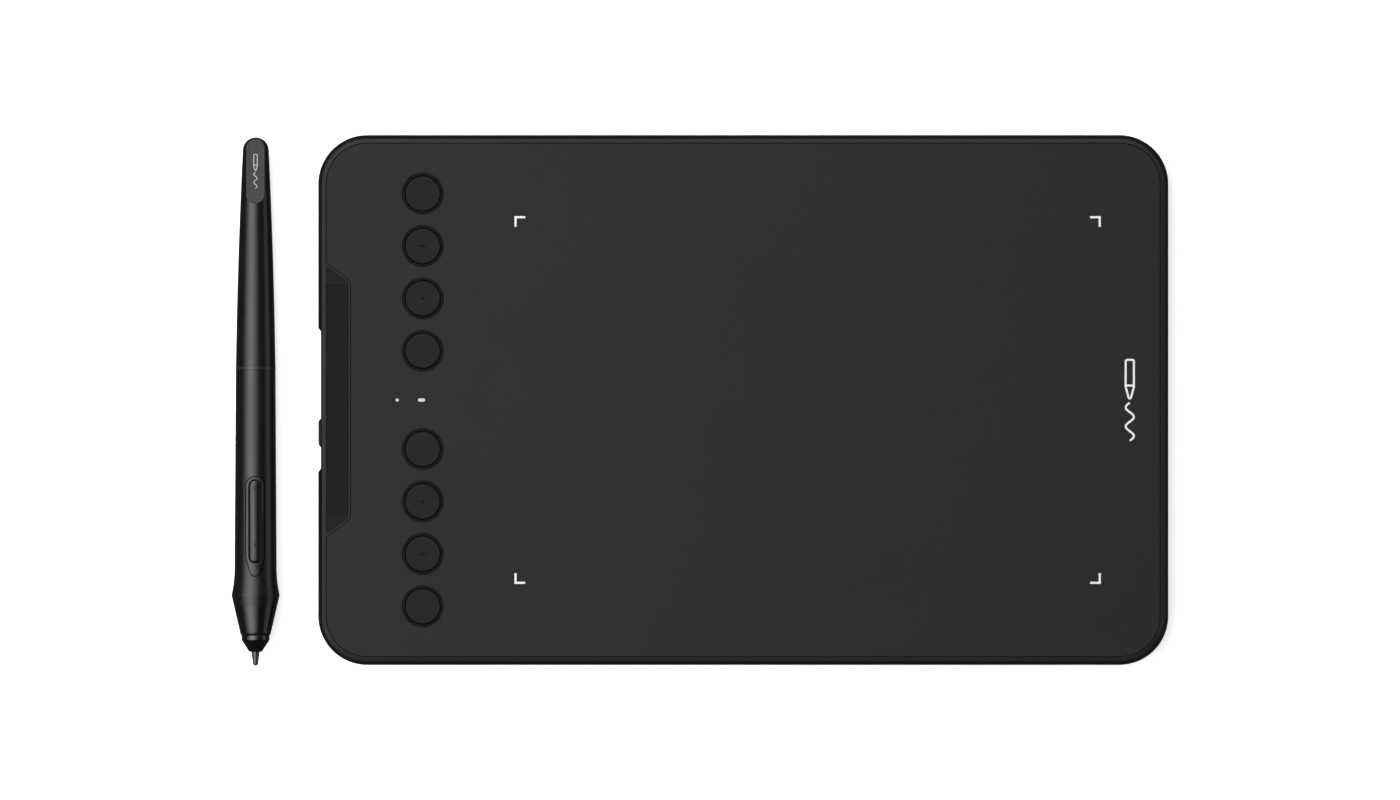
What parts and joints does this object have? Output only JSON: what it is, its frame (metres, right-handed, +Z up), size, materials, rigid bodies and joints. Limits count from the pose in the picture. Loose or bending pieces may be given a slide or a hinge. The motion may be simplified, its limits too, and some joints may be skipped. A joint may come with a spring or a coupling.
{
  "type": "pen drawing tablet",
  "caption": "Slim drawing tablet with a column of round shortcut keys, a side power button and USB-C socket, and its battery-free pen with a rocker button lying beside it.",
  "frame": {"origin": "on the desk, in the middle of the footprint of tablet and pen together", "axes": "+X from the pen across the tablet, +Y away from the user, +Z up out of the drawing surface"},
  "size_m": [0.285, 0.1614, 0.0146],
  "materials": {
    "sheet_film": "matte",
    "housing_plastic": "matte",
    "shell_plastic": "satin",
    "key_plastic": "matte",
    "light_pipe_clear": "satin",
    "rubber_black": "matte",
    "connector_steel": "satin",
    "connector_plastic": "satin",
    "board_green": "satin",
    "shield_aluminium": "satin",
    "chip_black": "matte",
    "switch_metal": "satin",
    "switch_plunger": "satin",
    "led_white": "satin",
    "battery_foil": "satin",
    "tape_white": "matte",
    "wire_insulation": "satin",
    "socket_white": "satin",
    "ribbon_film": "gloss",
    "screw_steel": "satin",
    "pen_barrel_plastic": "satin",
    "pen_grip_plastic": "satin",
    "pen_inlay_plastic": "matte",
    "pen_ring_gloss": "gloss",
    "pen_nose_gloss": "satin",
    "pen_tip_gloss": "gloss",
    "pen_nib_plastic": "gloss",
    "pen_inner_plastic": "satin",
    "ferrite": "matte",
    "coil_copper": "satin",
    "silicone_pad": "matte",
    "pin_steel": "satin"
  },
  "bodies": {
    "tablet": {"surface_sheet": "sheet_film", "top_cover": "housing_plastic", "bottom_cover": "shell_plastic", "light_pipe_dot": "light_pipe_clear", "light_pipe_bar": "light_pipe_clear", "power_switch": "switch_metal", "usb_c_shell": "connector_steel", "usb_c_tongue": "connector_plastic", "control_board": "board_green", "key_switch_bodies": "switch_metal", "key_switch_plungers": "switch_plunger", "led_chips": "led_white", "rf_shield_can": "shield_aluminium", "controller_chips": "chip_black", "sensor_board": "board_green", "shield_plate": "shield_aluminium", "ribbon_sockets": "socket_white", "sensor_ribbon": "ribbon_film", "battery_pouch": "battery_foil", "battery_tape": "tape_white", "battery_socket": "socket_white", "battery_plug": "socket_white", "battery_lead": "wire_insulation", "housing_screws": "screw_steel", "board_screws": "screw_steel", "rubber_foot_1": "rubber_black", "rubber_foot_2": "rubber_black", "rubber_foot_3": "rubber_black", "rubber_foot_4": "rubber_black"},
    "key_1": {"shortcut_key_1": "key_plastic"},
    "key_2": {"shortcut_key_2": "key_plastic"},
    "key_3": {"shortcut_key_3": "key_plastic"},
    "key_4": {"shortcut_key_4": "key_plastic"},
    "key_5": {"shortcut_key_5": "key_plastic"},
    "key_6": {"shortcut_key_6": "key_plastic"},
    "key_7": {"shortcut_key_7": "key_plastic"},
    "key_8": {"shortcut_key_8": "key_plastic"},
    "power_key": {"power_button": "key_plastic"},
    "pen": {"pen_rear_barrel": "pen_barrel_plastic", "pen_tail_inlay": "pen_inlay_plastic", "pen_joint_ring": "pen_ring_gloss", "pen_front_barrel": "pen_grip_plastic", "pen_button_bezel": "pen_grip_plastic", "pen_rocker_pin": "pin_steel", "pen_nose_cone": "pen_nose_gloss", "pen_tip_ring": "pen_ring_gloss", "pen_tip_cone": "pen_tip_gloss", "pen_ferrite_core": "ferrite", "pen_coil": "coil_copper", "pen_pressure_sensor": "pen_inner_plastic", "pen_pressure_pad": "silicone_pad", "pen_carrier": "pen_inner_plastic", "pen_board": "board_green", "pen_switches": "switch_metal", "pen_chip": "chip_black"},
    "rocker": {"pen_rocker": "pen_grip_plastic"},
    "nib_holder": {"pen_nib_holder": "pen_inner_plastic"},
    "nib": {"pen_nib": "pen_nib_plastic"}
  },
  "joints": [
    {"name": "key_1_press", "type": "slide", "parent": "tablet", "child": "key_1", "axis": [0, 0, -1], "range_m": [0, 0.0006], "stiffness_N_per_m": 1500, "springref_m": -0.0003},
    {"name": "key_2_press", "type": "slide", "parent": "tablet", "child": "key_2", "axis": [0, 0, -1], "range_m": [0, 0.0006], "stiffness_N_per_m": 1500, "springref_m": -0.0003},
    {"name": "key_3_press", "type": "slide", "parent": "tablet", "child": "key_3", "axis": [0, 0, -1], "range_m": [0, 0.0006], "stiffness_N_per_m": 1500, "springref_m": -0.0003},
    {"name": "key_4_press", "type": "slide", "parent": "tablet", "child": "key_4", "axis": [0, 0, -1], "range_m": [0, 0.0006], "stiffness_N_per_m": 1500, "springref_m": -0.0003},
    {"name": "key_5_press", "type": "slide", "parent": "tablet", "child": "key_5", "axis": [0, 0, -1], "range_m": [0, 0.0006], "stiffness_N_per_m": 1500, "springref_m": -0.0003},
    {"name": "key_6_press", "type": "slide", "parent": "tablet", "child": "key_6", "axis": [0, 0, -1], "range_m": [0, 0.0006], "stiffness_N_per_m": 1500, "springref_m": -0.0003},
    {"name": "key_7_press", "type": "slide", "parent": "tablet", "child": "key_7", "axis": [0, 0, -1], "range_m": [0, 0.0006], "stiffness_N_per_m": 1500, "springref_m": -0.0003},
    {"name": "key_8_press", "type": "slide", "parent": "tablet", "child": "key_8", "axis": [0, 0, -1], "range_m": [0, 0.0006], "stiffness_N_per_m": 1500, "springref_m": -0.0003},
    {"name": "power_press", "type": "slide", "parent": "tablet", "child": "power_key", "axis": [1, 0, 0], "range_m": [0, 0.0004], "stiffness_N_per_m": 3000, "springref_m": -0.0003},
    {"name": "pen_lift", "type": "slide", "parent": "tablet", "child": "pen", "axis": [0, 0, 1], "range_m": [0, 0.06]},
    {"name": "rocker_tilt", "type": "hinge", "parent": "pen", "child": "rocker", "pos_m": [-0.13514, -0.0369, 0.01205], "axis": [1, 0, 0], "range_deg": [-2.5, 2.5], "stiffness_Nm_per_rad": 0.3},
    {"name": "nib_press", "type": "slide", "parent": "pen", "child": "nib_holder", "axis": [0, 0.9998, -0.0183], "range_m": [0, 0.0006], "stiffness_N_per_m": 4000, "springref_m": -0.0003},
    {"name": "nib_pull_out", "type": "slide", "parent": "nib_holder", "child": "nib", "axis": [0, -0.9998, 0.0183], "range_m": [0, 0.018]}
  ]
}
